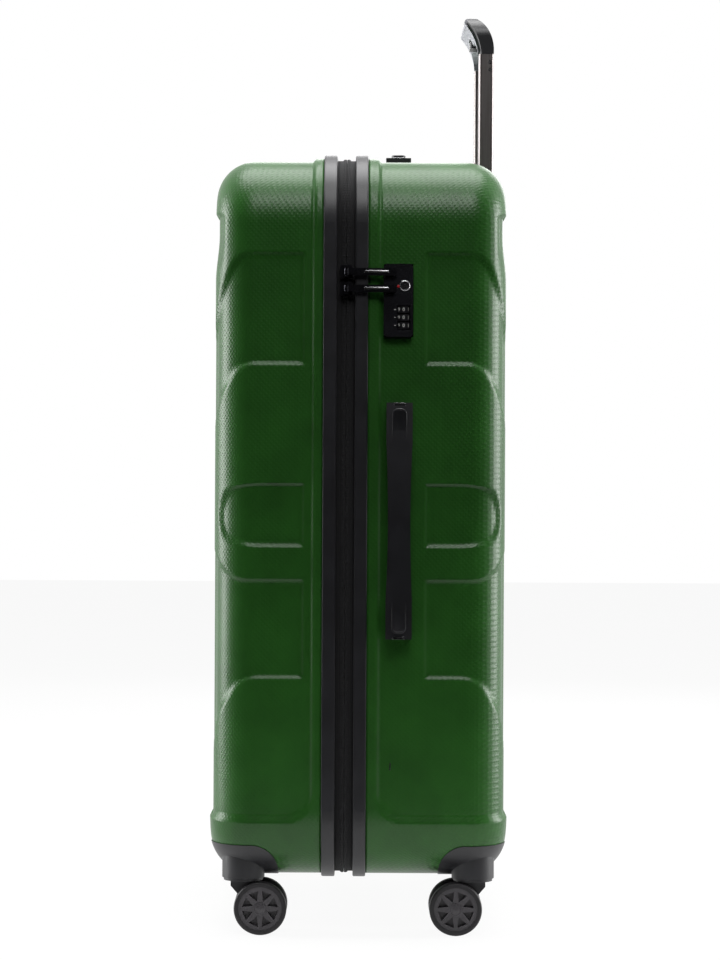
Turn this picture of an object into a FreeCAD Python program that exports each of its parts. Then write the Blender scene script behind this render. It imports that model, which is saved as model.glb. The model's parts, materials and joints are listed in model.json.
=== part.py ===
import FreeCAD, Part
import math
import os

# Hard shell suitcase on four twin casters, in millimetres.
# +X is the lock side, -X the hinge side, -Y the lid, +Y the half with the trolley, +Z up.
# The origin is on the floor, under the middle of the case.

Vec = FreeCAD.Vector

# ---- Case body -------------------------------------------------------------------------------
HALF_WIDTH = 255.0          # side wall, from the middle plane
HALF_DEPTH = 141.0          # front and back wall, from the middle plane
CASE_BOTTOM = 58.0
CASE_TOP = 751.5
CORNER_RADIUS = 65.0        # corners seen from the front
EDGE_RADIUS = 38.0          # edges seen from the side
WALL = 2.6
RIM_RISE = 3.2              # raised rim over the main wall
BAND_RISE = 6.6             # frame band over the main wall

# ---- Where the two halves meet ---------------------------------------------------------------
ZIP_Y = -14.0
ZIP_GAP = 0.4
BAND_INNER = -3.0           # inner face of bands and zip, under the main wall
ZIP_RISE = 2.6
FRONT_BAND = (-36.0, -23.0)
BACK_BAND = (-5.5, 7.0)
FRONT_RIM_EDGE = -45.6
BACK_RIM_EDGE = 18.5
LOWER_RIM_TOP = 115.0

# ---- Relief ----------------------------------------------------------------------------------
PANEL_DEPTH = 2.5
PANEL_START = {-1: 53.0, 1: 62.0}    # inner edge on the lid and on the back half
PANEL_TURN = 112.0                   # where the panel edges start to slant round the corner
NOTCH_DEPTH = 3.5
NOTCH_TOP, NOTCH_FLOOR, NOTCH_FADE = 696.0, 677.0, 632.0
TROLLEY_CHANNEL = 80.0               # half width of the flat strip over the trolley

# ---- Casters ---------------------------------------------------------------------------------
WHEEL_RADIUS = 25.5
TYRE_INNER_RADIUS = 21.0
WHEEL_WIDTH = 12.5
WHEEL_START = 9.0                    # inner face of each wheel from the fork's middle
TRAIL = 17.0
SWIVEL_X, SWIVEL_Y = 216.0, 111.5
BOSS_RADIUS = 20.6
HOUSING_RISE = 4.0
HOUSING_TOP = 88.0
PIN_RADIUS, AXLE_RADIUS = 4.0, 3.0
RUNNING_FIT = 0.05
FORK_WIDTH = 17.0
FLANGE_BOTTOM, FLANGE_TOP, FLANGE_RADIUS = 51.4, 53.6, 19.0
HUB_WINDOWS = 8

# ---- Trolley ---------------------------------------------------------------------------------
TUBE_X, TUBE_Y = 59.3, 127.6
UPPER_TUBE = (20.0, 15.0)            # outer width (X) and depth (Y) of the top stage
UPPER_WALL, MIDDLE_WALL, FIXED_WALL = 1.2, 1.1, 1.2
TUBE_CLEARANCE = 0.3
GRIP_BOTTOM, GRIP_TOP = 878.0, 917.0

# ---- Handles ---------------------------------------------------------------------------------
HANDLE_LENGTH, HANDLE_WIDTH = 226.0, 25.0
HANDLE_RISE = 20.5
HANDLE_Y = 37.5
SIDE_HANDLE_Z = 401.0

# ---- Lock and zip ----------------------------------------------------------------------------
LOCK_Y, LOCK_Z = (21.8, 50.0), (577.0, 647.0)
LOCK_FACE = HALF_WIDTH + BAND_RISE
LOCK_DEPTH = 16.6
DIAL_Y, DIAL_RADIUS, DIAL_WIDTH = 41.0, 7.5, 6.4
DIAL_HEIGHTS = (588.0, 595.6, 603.2)
DIAL_SHAFT_RADIUS = 1.5
KEY_Y, KEY_Z = 42.0, 626.0
KEY_PLUG_RADIUS = 3.2
SLIDER_HEIGHTS = {"upper": 639.0, "lower": 623.0}
SLIDER_LENGTH, SLIDER_WIDTH = 14.0, 12.0
TAB_PIVOT_X = LOCK_FACE + 3.9
TAB_REACH = 48.0


# ---- Small helpers ---------------------------------------------------------------------------
def slab(x0, x1, y0, y1, z0, z1):
    low = Vec(min(x0, x1), min(y0, y1), min(z0, z1))
    return Part.makeBox(abs(x1 - x0), abs(y1 - y0), abs(z1 - z0), low)


def rod(radius, start, end):
    start, end = Vec(*start), Vec(*end)
    return Part.makeCylinder(radius, (end - start).Length, start, end - start)


def tube(outer_radius, inner_radius, start, end):
    return rod(outer_radius, start, end).cut(rod(inner_radius, start, end))


def rounded(shape, radius, direction=None, flat=None):
    """Fillets the edges that run along a direction, or those that lie in a plane (axis, value)."""
    chosen = []
    for edge in shape.Edges:
        ends = [v.Point for v in edge.Vertexes]
        if direction is not None and len(ends) == 2:
            line = (ends[1] - ends[0]).normalize()
            if abs(abs(line.dot(Vec(*direction))) - 1) < 1e-6:
                chosen.append(edge)
        if flat is not None and all(abs(p[flat[0]] - flat[1]) < 1e-6 for p in ends):
            chosen.append(edge)
    return shape.makeFillet(radius, chosen)


def outline(start, *steps):
    """A closed face through points; a step of one point is a line, a step of two is an arc."""
    edges = []
    here = Vec(*start)
    for step in list(steps) + [(start,)]:
        end = Vec(*step[-1])
        if (end - here).Length < 1e-7:
            continue
        if len(step) == 1:
            edges.append(Part.LineSegment(here, end).toShape())
        else:
            edges.append(Part.Arc(here, Vec(*step[0]), end).toShape())
        here = end
    return Part.Face(Part.Wire(edges))


def along_x(points, x0, x1):
    """Extrudes an outline given as (y, z) steps from x0 to x1."""
    steps = [tuple((x0, p[0], p[1]) for p in step) for step in points]
    return outline(steps[0][0], *steps[1:]).extrude(Vec(x1 - x0, 0, 0))


def along_y(points, y0, y1):
    """Extrudes an outline given as (x, z) steps from y0 to y1."""
    steps = [tuple((p[0], y0, p[1]) for p in step) for step in points]
    return outline(steps[0][0], *steps[1:]).extrude(Vec(0, y1 - y0, 0))


def polygon(*points):
    return [(p,) for p in points]


def fuse(*shapes):
    whole = shapes[0]
    for shape in shapes[1:]:
        whole = whole.fuse(shape)
    return whole.removeSplitter()


def mirrored(shape, normal):
    return shape.mirror(Vec(0, 0, 0), Vec(*normal))


def save(node, *shapes):
    """Writes one node: each closed solid of the shapes is kept separate."""
    solids = [solid for shape in shapes for solid in shape.Solids]
    for solid in solids:
        if not solid.isValid() or solid.Volume <= 0:
            print("CHECK", node, "has a bad solid")
    whole = solids[0] if len(solids) == 1 else Part.makeCompound(solids)
    whole.exportStep("parts/" + node + ".step")
    box = whole.BoundBox
    limits = [round(v, 1) for v in (box.XMin, box.XMax, box.YMin, box.YMax, box.ZMin, box.ZMax)]
    print(node, len(solids), limits, round(whole.Volume / 1000, 1), "cm3")


# ---- Shell -----------------------------------------------------------------------------------
def plate(grow, y0, y1):
    """The case outline seen from the front, grown or shrunk, between two Y planes."""
    block = slab(-HALF_WIDTH - grow, HALF_WIDTH + grow, y0, y1, CASE_BOTTOM - grow, CASE_TOP + grow)
    return rounded(block, CORNER_RADIUS + grow, direction=(0, 1, 0))


def half_block(grow, side, y_near, y_far=None):
    """One half of the case as a solid with its outer edges rounded; side is -1 or 1."""
    far = side * (HALF_DEPTH + grow) if y_far is None else y_far
    return rounded(plate(grow, y_near, far), EDGE_RADIUS + grow, flat=(1, far))


def band_edge(side):
    """Where the shell of a half starts, behind its frame band."""
    return FRONT_BAND[0] if side < 0 else BACK_BAND[1]


def caster_corner(sx, sy, top=HOUSING_TOP):
    """The corner region that a caster housing wraps, curved on both faces."""
    def profile(inner, outer):
        return [((inner, 30),), ((inner, CASE_BOTTOM),),
                ((inner + 7, top - 8), (inner + 23, top)), ((outer, top),), ((outer, 30),)]
    from_side = along_x(profile(78.0, 170.0), 150.0, 290.0)
    from_front = along_y(profile(182.0, 290.0), 60.0, 170.0)
    region = from_side.common(from_front)
    if sx < 0:
        region = mirrored(region, (1, 0, 0))
    if sy < 0:
        region = mirrored(region, (0, 1, 0))
    return region


def side_panels(side, grow):
    """The three recessed panels of a side wall as prisms along X, one per panel and wall."""
    start = PANEL_START[side] - grow
    turn, end = PANEL_TURN, HALF_DEPTH + 6
    shapes = [
        [(start, 550 - grow), (start, 658.6 + grow), (turn, 658.6 + grow),
         (end, 604 + grow), (end, 505 - grow), (turn, 550 - grow)],
        [(start, 375 - grow), (start, 437 + grow), (turn, 437 + grow),
         (HALF_DEPTH - 2 + grow, 401), (turn, 375 - grow)],
        [(start, 249 - grow), (start, 345 + grow), (turn, 345 + grow),
         (end, 369 + grow), (end, 198 - grow), (turn, 249 - grow)],
    ]
    prisms = []
    for points in shapes:
        signed = polygon(*[(side * y, z) for y, z in points])
        for sx in (-1, 1):
            prisms.append(along_x(signed, sx * 205.0, sx * 262.0))
    return prisms


def notch(side, grow):
    """The step across the front or back face, under the top edge."""
    face = side * (HALF_DEPTH - NOTCH_DEPTH - grow)
    beyond = side * (HALF_DEPTH + 5)
    cut = along_x(polygon((beyond, NOTCH_TOP + grow), (face, NOTCH_TOP + grow),
                          (face, NOTCH_FLOOR - grow), (side * (HALF_DEPTH - grow), NOTCH_FADE),
                          (beyond, NOTCH_FADE)), -HALF_WIDTH - 5, HALF_WIDTH + 5)
    if side > 0:
        channel = TROLLEY_CHANNEL - grow
        cut = cut.cut(slab(-channel, channel, 100, 160, 600, 720))
    return cut


def shell(side):
    near = band_edge(side)
    rim_edge = FRONT_RIM_EDGE if side < 0 else BACK_RIM_EDGE
    body = half_block(0, side, near)
    lower_rim = half_block(RIM_RISE, side, near).common(
        slab(-300, 300, near, side * 200, 0, LOWER_RIM_TOP))
    for sx in (-1, 1):
        lower_rim = lower_rim.cut(caster_corner(sx, side))
    body = fuse(body, plate(RIM_RISE, near, rim_edge), lower_rim)
    for sx in (-1, 1):
        body = body.cut(caster_corner(sx, side).cut(half_block(0, side, near)))
    recess_floor = half_block(-PANEL_DEPTH, side, near)
    cavity = half_block(-WALL, side, near)
    cavity_floor = half_block(-WALL - PANEL_DEPTH, side, near)
    for prism in side_panels(side, 0):
        body = body.cut(prism.cut(recess_floor))
    for prism in side_panels(side, WALL):
        cavity = cavity.cut(prism.cut(cavity_floor))
    body = body.cut(notch(side, 0))
    cavity = cavity.cut(notch(side, WALL))
    return body.cut(cavity)


def pin_holes(side):
    return [rod(PIN_RADIUS, (sx * SWIVEL_X, side * SWIVEL_Y, 40), (sx * SWIVEL_X, side * SWIVEL_Y, 80))
            for sx in (-1, 1)]


def make_shells():
    lid = shell(-1)
    back = shell(1)
    for hole in pin_holes(-1):
        lid = lid.cut(hole)
    for hole in pin_holes(1):
        back = back.cut(hole)
    back = back.cut(slab(230, 270, *LOCK_Y, *LOCK_Z))
    for cutter in handle_leg_cutters():
        back = back.cut(cutter)
    for sx in (-1, 1):
        back = back.cut(tube_block(sx, MIDDLE_OUTER, 1.2, 700, 770))
    save("front_shell", lid)
    save("back_shell", back)


def make_frame():
    """Frame bands and zip tapes: rings that follow the case outline."""
    def ring(grow, y0, y1):
        return plate(grow, y0, y1).cut(plate(BAND_INNER, y0, y1))

    for node, (y0, y1) in (("front_frame_band", FRONT_BAND), ("back_frame_band", BACK_BAND)):
        outer = plate(BAND_RISE, y0, y1)
        for y in (y0, y1):
            outer = rounded(outer, 1.5, flat=(1, y))
        save(node, outer.cut(plate(BAND_INNER, y0, y1)))
    save("front_zip_tape", ring(ZIP_RISE, FRONT_BAND[1], ZIP_Y - ZIP_GAP / 2))
    save("back_zip_tape", ring(ZIP_RISE, ZIP_Y + ZIP_GAP / 2, BACK_BAND[0]))


def make_linings():
    """Thin fabric linings inside each half, and the fabric web at the hinge side."""
    lid_face, back_face = -133.0, 113.4
    for node, side, near, face in (("front_lining", -1, -45.0, lid_face),
                                   ("back_lining", 1, 19.0, back_face)):
        outer = half_block(-5.6, side, near, face)
        inner = half_block(-6.6, side, near, face - side)
        lining = outer.cut(inner)
        for room in pin_holes(side) + (lining_cutouts() if side > 0 else []):
            lining = lining.cut(room)
        save(node, lining)
    save("hinge_web", slab(-HALF_WIDTH + 3.4, -HALF_WIDTH + 4.4, -36, 10, 125, 685))


def lining_cutouts():
    """Room that the lock and the handle covers need in the back lining."""
    return [slab(240, 260, 19, 53, 575, 649)] + handle_solids(
        slab(-30, 0, -HANDLE_COVER_WIDTH / 2 - 1, HANDLE_COVER_WIDTH / 2 + 1,
             -HANDLE_COVER_LENGTH / 2 - 1, HANDLE_COVER_LENGTH / 2 + 1))


# ---- Handles ---------------------------------------------------------------------------------
# Each handle is drawn about its own origin: X away from the wall, Y across, Z along the handle.
LEG_Z, LEG_SIZE, LEG_REACH = 98.0, (14.0, 8.0), 20.0
STOP_THICKNESS = 3.0
BEZEL_THICKNESS = 2.8
HANDLE_COVER_WIDTH, HANDLE_COVER_LENGTH, HANDLE_COVER_DEPTH = 32.0, 236.0, 26.0


def on_side_wall(shape):
    placed = shape.copy()
    placed.translate(Vec(HALF_WIDTH, HANDLE_Y, SIDE_HANDLE_Z))
    return placed


def on_top_wall(shape):
    placed = shape.copy()
    placed.rotate(Vec(0, 0, 0), Vec(0, 1, 0), -90)
    placed.translate(Vec(0, HANDLE_Y, CASE_TOP))
    return placed


def handle_solids(shape):
    return [on_side_wall(shape), on_top_wall(shape)]


def leg(sz, grow, x0, x1):
    half_y, half_z = LEG_SIZE[0] / 2 + grow, LEG_SIZE[1] / 2 + grow
    return slab(x0, x1, -half_y, half_y, sz * LEG_Z - half_z, sz * LEG_Z + half_z)


def handle_leg_cutters():
    return [placed for sz in (-1, 1) for placed in handle_solids(leg(sz, 0.4, -8, 6))]


def handle_grip():
    """A bowed strap with two legs that slide into the case."""
    half = HANDLE_LENGTH / 2
    foot = BEZEL_THICKNESS + 0.4
    side_view = outline((foot, 0, -half), ((14.0, 0, -half),), ((HANDLE_RISE, 0, 0), (14.0, 0, half)),
                        ((foot, 0, half),), ((foot, 0, half - 29),),
                        ((12.2, 0, 0), (foot, 0, -half + 29)))
    strap = side_view.extrude(Vec(0, HANDLE_WIDTH, 0))
    strap.translate(Vec(0, -HANDLE_WIDTH / 2, 0))
    waist_half, end_half = 10.7, HANDLE_WIDTH / 2
    across = outline((0, -end_half, -half), ((0, -end_half, -half + 38),),
                     ((0, -waist_half, 0), (0, -end_half, half - 38)), ((0, -end_half, half),),
                     ((0, end_half, half),), ((0, end_half, half - 38),),
                     ((0, waist_half, 0), (0, end_half, -half + 38)), ((0, end_half, -half),))
    across = across.extrude(Vec(30, 0, 0))
    return fuse(strap.common(across), *[leg(sz, 0, -LEG_REACH, foot + 1) for sz in (-1, 1)])


def make_handles():
    grip = handle_grip()
    end = HANDLE_LENGTH / 2
    bezels = []
    stops = []
    for sz in (-1, 1):
        plate_shape = rounded(slab(0, BEZEL_THICKNESS, -12.5, 12.5, sz * (end - 29), sz * end), 4.0,
                              direction=(1, 0, 0))
        bezels.append(plate_shape.cut(leg(sz, 0.4, -5, 10)))
        stop = slab(-LEG_REACH - STOP_THICKNESS, -LEG_REACH, -11, 11, sz * LEG_Z - 8, sz * LEG_Z + 8)
        stops.append(stop)
    cover_y, cover_z = HANDLE_COVER_WIDTH / 2, HANDLE_COVER_LENGTH / 2
    cover = slab(-HANDLE_COVER_DEPTH, -WALL - 0.1, -cover_y, cover_y, -cover_z, cover_z).cut(
        slab(-HANDLE_COVER_DEPTH + 1.5, 0, 1.5 - cover_y, cover_y - 1.5, 1.5 - cover_z, cover_z - 1.5))
    for name, place in (("side", on_side_wall), ("top", on_top_wall)):
        save(name + "_handle_grip", place(grip))
        save(name + "_handle_bezels", *[place(shape) for shape in bezels])
        save(name + "_handle_stops", *[place(shape) for shape in stops])
    save("handle_covers", *handle_solids(cover))


# ---- Trolley ---------------------------------------------------------------------------------
def nested(size, wall):
    """Outer size of the tube that runs outside a tube of the given size."""
    return tuple(value + 2 * (TUBE_CLEARANCE + wall) for value in size)


MIDDLE_OUTER = nested(UPPER_TUBE, MIDDLE_WALL)
FIXED_OUTER = nested(MIDDLE_OUTER, FIXED_WALL)
FIXED_SPAN, MIDDLE_SPAN, UPPER_SPAN = (95.0, 715.0), (98.0, 728.0), (230.0, GRIP_BOTTOM)
ROD_Y, ROD_RADIUS = 124.0, 2.0
YOKE_Y, YOKE_Z = (119.0, 126.0), (899.5, 902.5)
BUTTON_TRAVEL = 3.0
PALM_THICKNESS, COVER_SETBACK = 4.0, 2.5   # light palm insert, and how far the cover sits behind it


def tube_block(sx, size, grow, z0, z1):
    half_x, half_y = size[0] / 2 + grow, size[1] / 2 + grow
    block = slab(sx * TUBE_X - half_x, sx * TUBE_X + half_x, TUBE_Y - half_y, TUBE_Y + half_y, z0, z1)
    return rounded(block, 3.0, direction=(0, 0, 1))


def hollow_tube(sx, size, wall, span):
    return tube_block(sx, size, 0, *span).cut(tube_block(sx, size, -wall, span[0] - 1, span[1] + 1))


def grip_lean(x0, x1, back):
    """Side view of the grip, leaning forward from the tubes; back moves its front edge rearwards."""
    points = [((119.9 + back, GRIP_BOTTOM),), ((116.3 + back, 895.0), (107.0 + back, 910.5)),
              ((105.8 + back, 914.5), (109.5 + back, GRIP_TOP)), ((116.5, GRIP_TOP),),
              ((129.0, 904.0), (135.1, GRIP_BOTTOM))]
    return along_x(points, x0, x1)


def grip_arch(inset):
    """Front view of the grip's lower edge, as a block to cut away; inset makes it smaller."""
    x, top = 50.0 - inset, 899.0 - inset
    points = [((-x, 870),), ((-x, 884),), ((-x + 4.4, top - 4.4), (-x + 15, top)), ((x - 15, top),),
              ((x - 4.4, top - 4.4), (x, 884)), ((x, 870),)]
    return along_y(points, 95.0, 140.0)


def make_trolley():
    sides = (-1, 1)
    save("trolley_fixed_tubes", *[hollow_tube(sx, FIXED_OUTER, FIXED_WALL, FIXED_SPAN) for sx in sides])
    save("trolley_middle_tubes",
         *[hollow_tube(sx, MIDDLE_OUTER, MIDDLE_WALL, MIDDLE_SPAN) for sx in sides])
    save("trolley_upper_tubes", *[hollow_tube(sx, UPPER_TUBE, UPPER_WALL, UPPER_SPAN) for sx in sides])
    under_shell = half_block(-WALL - 0.1, 1, 60)
    guides = [tube_block(sx, MIDDLE_OUTER, 5.0, FIXED_SPAN[1] + 0.5, 744.5).common(under_shell).cut(
        tube_block(sx, MIDDLE_OUTER, TUBE_CLEARANCE, 700, 760)) for sx in sides]
    save("trolley_guides", *guides)
    save("trolley_foot_plate", slab(-76, 76, 118, 137, FIXED_SPAN[0] - 4, FIXED_SPAN[0]))

    points = [((-69.5, GRIP_BOTTOM),), ((-69.5, 897),), ((-63.6, 911.1), (-49.5, GRIP_TOP)),
              ((49.5, GRIP_TOP),), ((63.6, 911.1), (69.5, 897)), ((69.5, GRIP_BOTTOM),)]
    between = TUBE_X - UPPER_TUBE[0] / 2 + 0.7
    palm = grip_lean(-between, between, 0).cut(grip_lean(-80, 80, COVER_SETBACK + PALM_THICKNESS))
    body = grip_lean(-80, 80, COVER_SETBACK).common(along_y(points, 95.0, 140.0))
    under = body.common(grip_arch(0))
    insert = fuse(palm, under).cut(grip_arch(PALM_THICKNESS))
    body = body.cut(grip_arch(0)).cut(palm)
    for sx in sides:
        body = body.fuse(tube_block(sx, UPPER_TUBE, -UPPER_WALL - 0.1, GRIP_BOTTOM - 23, GRIP_BOTTOM))
    yoke_half = TUBE_X + ROD_RADIUS
    channel = slab(-yoke_half - 1, yoke_half + 1, YOKE_Y[0] - 0.5, YOKE_Y[1] + 0.4,
                   YOKE_Z[0] - 0.3, YOKE_Z[1] + BUTTON_TRAVEL + 0.5)
    button_slot = slab(-13.3, 13.3, 112.7, 123.3, 880, YOKE_Z[1])
    rod_holes = [rod(ROD_RADIUS + 0.4, (sx * TUBE_X, ROD_Y, 850), (sx * TUBE_X, ROD_Y, YOKE_Z[1]))
                 for sx in sides]
    for cutter in [channel, button_slot] + rod_holes:
        body = body.cut(cutter)
    save("trolley_grip", body)
    save("trolley_grip_insert", insert.cut(button_slot).cut(channel))
    button = rounded(slab(-13, 13, 113, 123, 892.5, YOKE_Z[0]), 3.0, direction=(0, 0, 1))
    save("trolley_button", button)
    yoke = slab(-yoke_half, yoke_half, *YOKE_Y, *YOKE_Z)
    rods = [rod(ROD_RADIUS, (sx * TUBE_X, ROD_Y, 240), (sx * TUBE_X, ROD_Y, YOKE_Z[0])) for sx in sides]
    save("trolley_release_rods", fuse(yoke, *rods))
    face = TUBE_X + UPPER_TUBE[0] / 2
    rivets = [rod(1.75, (sx * face, 131.2, z), (sx * (face + 0.7), 131.2, z))
              for sx in sides for z in (862.0, 870.0)]
    save("trolley_rivets", *rivets)


# ---- Lock and zip ----------------------------------------------------------------------------
def make_lock():
    case = rounded(slab(LOCK_FACE - LOCK_DEPTH, LOCK_FACE, *LOCK_Y, *LOCK_Z), 4.0, direction=(1, 0, 0))
    low, high = DIAL_HEIGHTS[0] - 4.0, DIAL_HEIGHTS[-1] + 4.0
    dial_x = LOCK_FACE + 0.3 - DIAL_RADIUS
    case = case.cut(slab(LOCK_FACE - 15.2, LOCK_FACE - 2.0, DIAL_Y - 8, DIAL_Y + 8, low, high))
    case = case.cut(slab(LOCK_FACE - 3.0, LOCK_FACE + 1, DIAL_Y - 6, DIAL_Y + 6, low, high))
    shaft = rod(DIAL_SHAFT_RADIUS, (dial_x, DIAL_Y, low - 1.2), (dial_x, DIAL_Y, high + 1.2))
    case = case.cut(shaft)
    for height in SLIDER_HEIGHTS.values():
        case = case.cut(slab(LOCK_FACE - 6, LOCK_FACE + 1, 23.5, 30.5, height - 5, height - 1))
    ring = rod(4.8, (LOCK_FACE - 1, KEY_Y, KEY_Z), (LOCK_FACE + 0.5, KEY_Y, KEY_Z))
    case = case.fuse(ring).cut(rod(KEY_PLUG_RADIUS + RUNNING_FIT, (LOCK_FACE - 12, KEY_Y, KEY_Z),
                                   (LOCK_FACE + 2, KEY_Y, KEY_Z)))
    save("lock_case", case)
    plug = rod(KEY_PLUG_RADIUS, (LOCK_FACE - 11.8, KEY_Y, KEY_Z), (LOCK_FACE + 0.4, KEY_Y, KEY_Z))
    keyway = slab(LOCK_FACE - 8, LOCK_FACE + 1, KEY_Y - 0.4, KEY_Y + 0.4, KEY_Z - 2.2, KEY_Z + 2.2)
    save("lock_key_plug", plug.cut(keyway))
    for number, z in enumerate(DIAL_HEIGHTS, start=1):
        dial = tube(DIAL_RADIUS, DIAL_SHAFT_RADIUS + RUNNING_FIT, (dial_x, DIAL_Y, z - DIAL_WIDTH / 2),
                    (dial_x, DIAL_Y, z + DIAL_WIDTH / 2))
        save("lock_dial_%d" % number, dial)
    save("lock_dial_shaft", shaft)


def make_zip_sliders():
    base = HALF_WIDTH + ZIP_RISE + 0.3
    for name, z in SLIDER_HEIGHTS.items():
        block = rounded(slab(base, LOCK_FACE + 0.3, ZIP_Y - SLIDER_WIDTH / 2, ZIP_Y + SLIDER_WIDTH / 2,
                             z - SLIDER_LENGTH / 2, z + SLIDER_LENGTH / 2), 2.5, direction=(1, 0, 0))
        ears = [slab(LOCK_FACE, TAB_PIVOT_X + 1.7, ZIP_Y - 2, ZIP_Y + 2, z + s * 3.4, z + s * 5.4)
                for s in (-1, 1)]
        pin = rod(1.0, (TAB_PIVOT_X, ZIP_Y, z - 4), (TAB_PIVOT_X, ZIP_Y, z + 4))
        save("zip_slider_" + name, fuse(block, *ears, pin))
        end = ZIP_Y + TAB_REACH
        barrel = rod(2.2, (TAB_PIVOT_X, ZIP_Y, z - 3), (TAB_PIVOT_X, ZIP_Y, z + 3))
        neck = slab(TAB_PIVOT_X - 2.1, TAB_PIVOT_X - 0.1, ZIP_Y, ZIP_Y + 8, z - 2.6, z + 2.6)
        blade = rounded(slab(TAB_PIVOT_X - 2.1, TAB_PIVOT_X - 0.1, ZIP_Y + 5, end, z - 3.6, z + 3.6),
                        2.5, direction=(1, 0, 0))
        bore = rod(1.0 + RUNNING_FIT, (TAB_PIVOT_X, ZIP_Y, z - 4), (TAB_PIVOT_X, ZIP_Y, z + 4))
        save("zip_pull_" + name, fuse(barrel, neck, blade).cut(bore))


# ---- Casters and feet ------------------------------------------------------------------------
def make_housings():
    for node, sy in (("front_caster_housings", -1), ("back_caster_housings", 1)):
        wrap = half_block(HOUSING_RISE, sy, band_edge(sy))
        core = half_block(0, sy, band_edge(sy))
        solids = []
        for sx, hole in zip((-1, 1), pin_holes(sy)):
            boss = rod(BOSS_RADIUS, (sx * SWIVEL_X, sy * SWIVEL_Y, CASE_BOTTOM - HOUSING_RISE),
                       (sx * SWIVEL_X, sy * SWIVEL_Y, 84))
            cap = wrap.common(caster_corner(sx, sy))
            solids.append(fuse(cap, boss).cut(core).cut(hole))
        save(node, *solids)
        save(node.replace("housings", "pins"),
             *[rod(PIN_RADIUS, (sx * SWIVEL_X, sy * SWIVEL_Y, 45), (sx * SWIVEL_X, sy * SWIVEL_Y, 71))
               for sx in (-1, 1)])


def caster(sx, sy):
    """Fork, axle, tyres and hubs of one caster, as a dict of lists of solids."""
    cx, cy = sx * SWIVEL_X, sy * SWIVEL_Y
    wheel_y, wheel_z = cy - sy * TRAIL, WHEEL_RADIUS
    half = FORK_WIDTH / 2
    web = along_x(polygon(*[(cy - sy * v, z) for v, z in
                            ((-12, FLANGE_BOTTOM + 1), (-12, 46), (11, 19.5), (25, 28),
                             (14, FLANGE_BOTTOM + 1))]), cx - half, cx + half)
    flange = rod(FLANGE_RADIUS, (cx, cy, FLANGE_BOTTOM), (cx, cy, FLANGE_TOP))
    hub_boss = rod(8.5, (cx - half, wheel_y, wheel_z), (cx + half, wheel_y, wheel_z))
    fork = fuse(flange, web, hub_boss)
    fork = fork.cut(rod(PIN_RADIUS + RUNNING_FIT, (cx, cy, 44), (cx, cy, 70)))
    fork = fork.cut(rod(AXLE_RADIUS + RUNNING_FIT, (cx - 20, wheel_y, wheel_z), (cx + 20, wheel_y, wheel_z)))
    reach = WHEEL_START + WHEEL_WIDTH
    axle = rod(AXLE_RADIUS, (cx - reach + 1, wheel_y, wheel_z), (cx + reach - 1, wheel_y, wheel_z))
    tyres, hubs = [], []
    for s in (-1, 1):
        x_in, x_out = cx + s * WHEEL_START, cx + s * reach
        tread = rod(WHEEL_RADIUS, (x_in, wheel_y, wheel_z), (x_out, wheel_y, wheel_z))
        for x in (x_in, x_out):
            tread = rounded(tread, 2.0, flat=(0, x))
        tyres.append(tread.cut(rod(TYRE_INNER_RADIUS, (x_in - s, wheel_y, wheel_z),
                                   (x_out + s, wheel_y, wheel_z))))
        hub = rod(TYRE_INNER_RADIUS, (x_in + s * 0.6, wheel_y, wheel_z), (x_out - s * 0.8, wheel_y, wheel_z))
        for number in range(HUB_WINDOWS):
            turn = math.radians(360 / HUB_WINDOWS * (number + 0.5))
            window = [(wheel_y + r * math.cos(turn + a), wheel_z + r * math.sin(turn + a))
                      for r, a in ((7.6, 0.0), (17.5, -0.29), (17.5, 0.29))]
            hub = hub.cut(along_x(polygon(*window), x_out - s * 6, x_out + s))
        hubs.append(hub.cut(axle))
    return {"fork": [fork], "axle": [axle], "tyres": tyres, "hubs": hubs}


def make_casters():
    for row, sy in (("front", -1), ("back", 1)):
        for side, sx in (("lock", 1), ("hinge", -1)):
            for piece, solids in caster(sx, sy).items():
                save("caster_%s_%s_%s" % (piece, row, side), *solids)


def make_side_feet():
    """Feet on the hinge side, as proud as the side handle opposite."""
    for node, y in (("front_side_feet", -85.0), ("back_side_feet", 65.0)):
        feet = [Part.makeCone(11.0, 8.5, HANDLE_RISE, Vec(-HALF_WIDTH, y, z), Vec(-1, 0, 0))
                for z in (200.0, 500.0)]
        save(node, *feet)


os.makedirs("parts", exist_ok=True)
make_shells()
make_frame()
make_linings()
make_handles()
make_trolley()
make_lock()
make_zip_sliders()
make_housings()
make_casters()
make_side_feet()
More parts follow.
